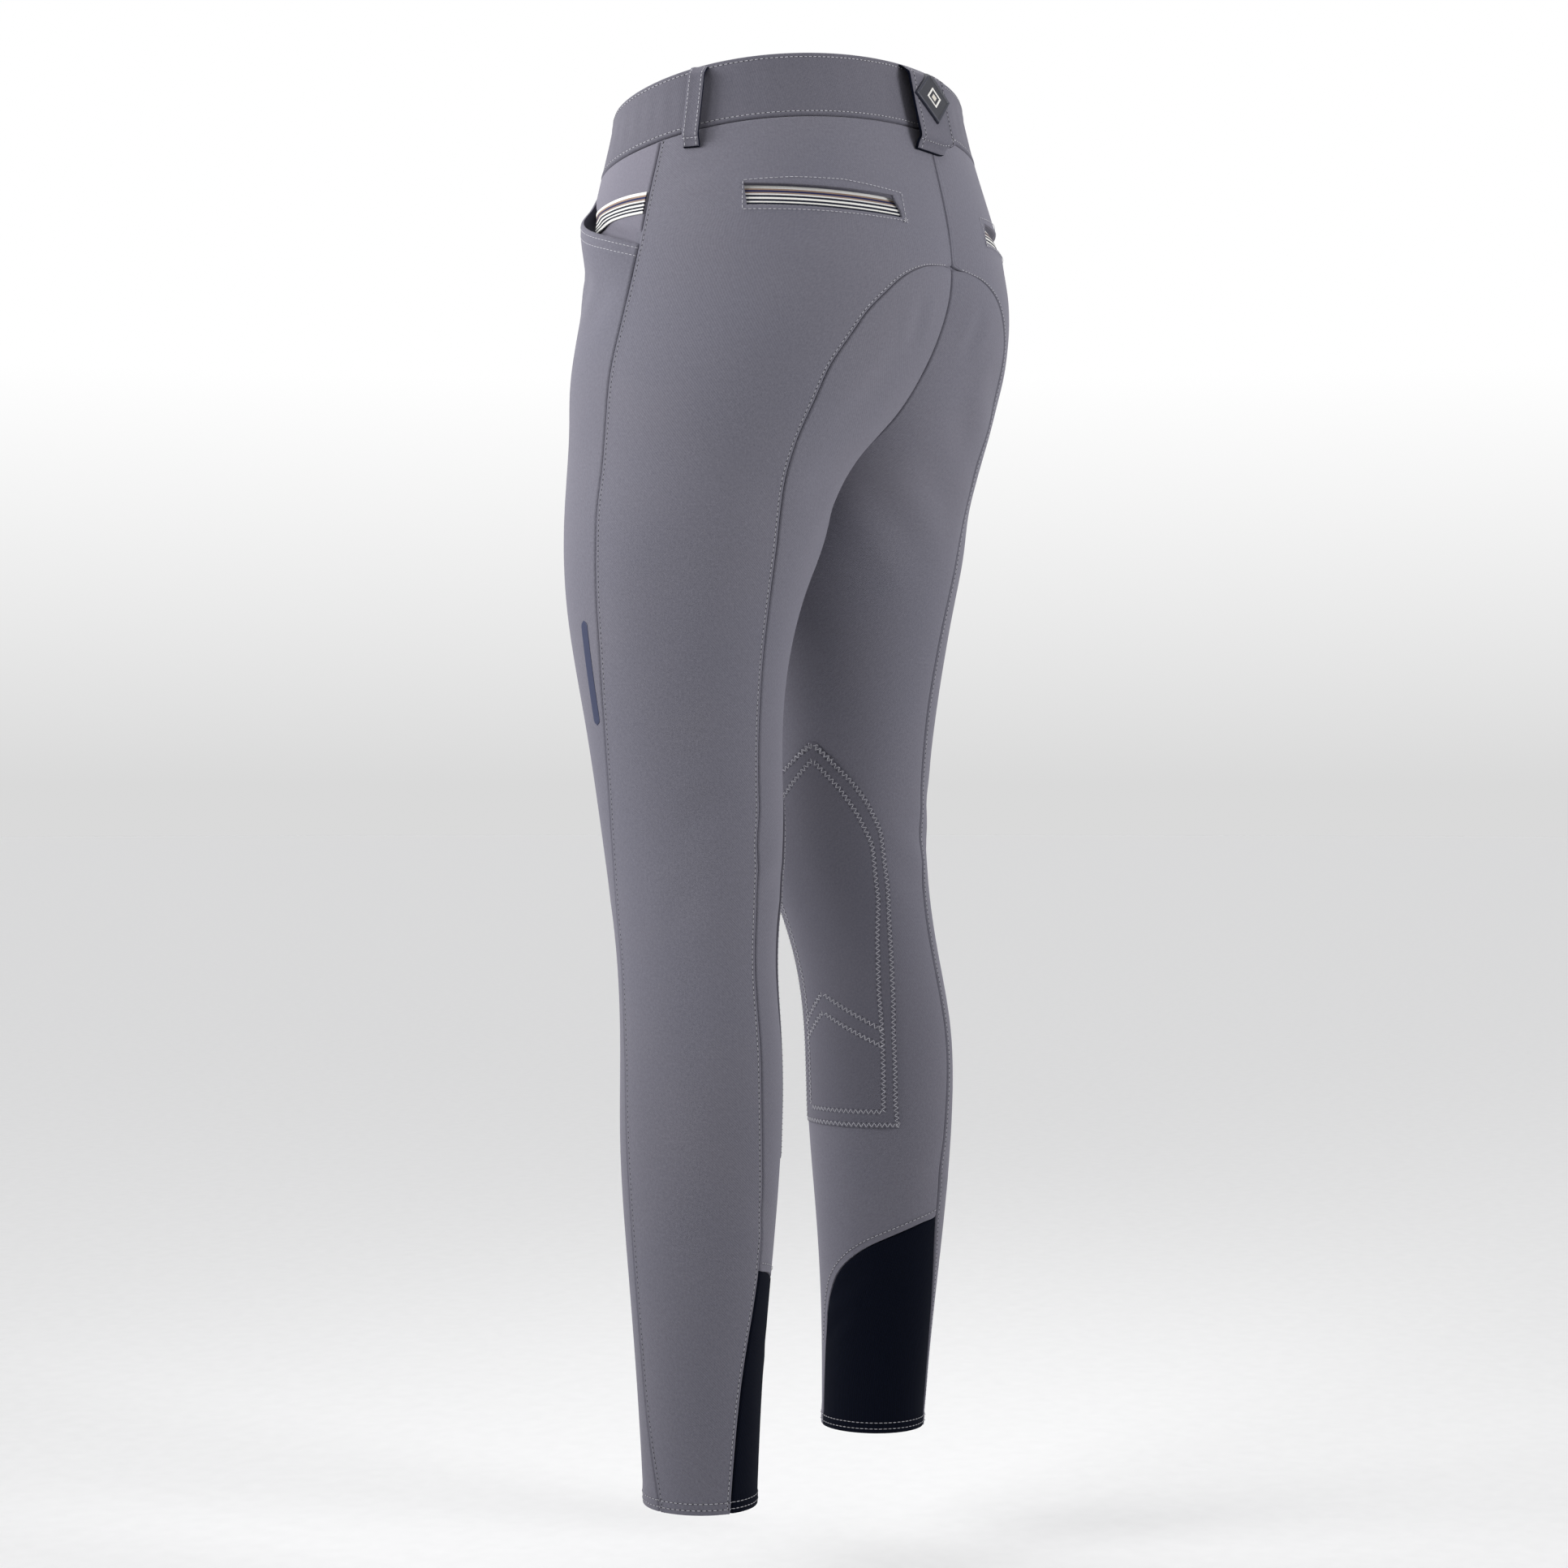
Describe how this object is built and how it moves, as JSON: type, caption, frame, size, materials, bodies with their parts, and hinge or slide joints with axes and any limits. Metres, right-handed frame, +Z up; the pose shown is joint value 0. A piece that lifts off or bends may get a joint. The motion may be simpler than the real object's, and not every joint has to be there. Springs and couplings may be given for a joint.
{
  "type": "riding breeches",
  "caption": "Slim full-length riding breeches in grey stretch cloth, with navy stretch cuffs, stitched knee patches, a curved seat seam, ribbon-trimmed pockets and belt loops.",
  "frame": {"origin": "middle of the waist, halfway up the waistband, where the wearer holds the breeches up", "axes": "+Z up, the front of the garment towards -Y, the wearer's left towards +X"},
  "size_m": [0.3612, 0.2445, 0.9704],
  "materials": {
    "waistband": "matte stretch cloth, grey mauve",
    "left_front_panel": "matte stretch cloth, grey mauve",
    "left_side_panel": "matte stretch cloth, grey mauve",
    "left_seat_leg_panel": "matte stretch cloth, grey mauve",
    "left_stretch_cuff": "fine ribbed stretch knit, dark navy",
    "left_knee_patch": "matte stretch cloth, zigzag stitched",
    "left_pocket_facing": "matte stretch cloth, grey mauve",
    "left_front_pocket_ribbon": "woven ribbon striped white, tan and navy",
    "left_back_pocket_ribbon": "woven ribbon striped white, tan and navy",
    "left_side_belt_loop": "matte stretch cloth, grey mauve",
    "left_front_belt_loop": "matte stretch cloth, grey mauve",
    "right_front_panel": "matte stretch cloth, grey mauve",
    "right_side_panel": "matte stretch cloth, grey mauve",
    "right_seat_leg_panel": "matte stretch cloth, grey mauve",
    "right_stretch_cuff": "fine ribbed stretch knit, dark navy",
    "right_knee_patch": "matte stretch cloth, zigzag stitched",
    "right_pocket_facing": "matte stretch cloth, grey mauve",
    "right_front_pocket_ribbon": "woven ribbon striped white, tan and navy",
    "right_back_pocket_ribbon": "woven ribbon striped white, tan and navy",
    "right_side_belt_loop": "matte stretch cloth, grey mauve",
    "right_front_belt_loop": "matte stretch cloth, grey mauve",
    "back_tab": "matte stretch cloth, grey mauve",
    "badge": "satin moulded rubber, navy",
    "waist_button": "satin dark grey plastic"
  },
  "bodies": {
    "root": {"waistband": "waistband", "left_front_panel": "left_front_panel", "left_side_panel": "left_side_panel", "left_seat_leg_panel": "left_seat_leg_panel", "left_stretch_cuff": "left_stretch_cuff", "left_knee_patch": "left_knee_patch", "left_pocket_facing": "left_pocket_facing", "left_front_pocket_ribbon": "left_front_pocket_ribbon", "left_back_pocket_ribbon": "left_back_pocket_ribbon", "left_side_belt_loop": "left_side_belt_loop", "left_front_belt_loop": "left_front_belt_loop", "right_front_panel": "right_front_panel", "right_side_panel": "right_side_panel", "right_seat_leg_panel": "right_seat_leg_panel", "right_stretch_cuff": "right_stretch_cuff", "right_knee_patch": "right_knee_patch", "right_pocket_facing": "right_pocket_facing", "right_front_pocket_ribbon": "right_front_pocket_ribbon", "right_back_pocket_ribbon": "right_back_pocket_ribbon", "right_side_belt_loop": "right_side_belt_loop", "right_front_belt_loop": "right_front_belt_loop", "back_tab": "back_tab", "badge": "badge", "waist_button": "waist_button"}
  },
  "joints": []
}
